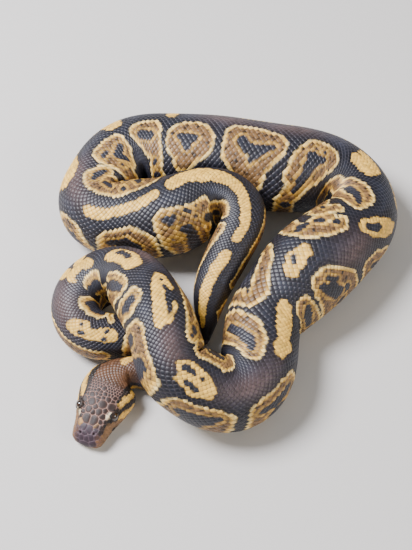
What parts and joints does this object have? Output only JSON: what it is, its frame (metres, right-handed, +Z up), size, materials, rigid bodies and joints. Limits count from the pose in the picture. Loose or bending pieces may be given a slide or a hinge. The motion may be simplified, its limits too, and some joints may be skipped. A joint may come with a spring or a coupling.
{
  "type": "coiled ball python",
  "caption": "Life-size still model of a ball python lying in loose coils, head in front and tail tucked inside, resting flat on its belly.",
  "frame": {"origin": "middle of the bounding box, on the floor that the belly rests on", "axes": "+Z up, +X to the right and +Y away as the camera sees it; the head points to -Y"},
  "size_m": [0.1691, 0.1789, 0.0494],
  "materials": {
    "head_skin": "satin scaled skin, brown",
    "back_skin": "satin scaled skin, blue-black with gold marks",
    "belly_skin": "smooth scaled skin, cream",
    "eye": "wet gloss"
  },
  "bodies": {
    "root": {"head": "head_skin", "lower_jaw": "belly_skin", "eye_left": "eye", "eye_right": "eye", "neck": "head_skin", "trunk_01": "back_skin", "trunk_02": "back_skin", "trunk_03": "back_skin", "trunk_04": "back_skin", "trunk_05": "back_skin", "trunk_06": "back_skin", "trunk_07": "back_skin", "trunk_08": "back_skin", "trunk_09": "back_skin", "trunk_10": "back_skin", "trunk_11": "back_skin", "trunk_12": "back_skin", "trunk_13": "back_skin", "trunk_14": "back_skin", "trunk_15": "back_skin", "tail": "back_skin"}
  },
  "joints": []
}
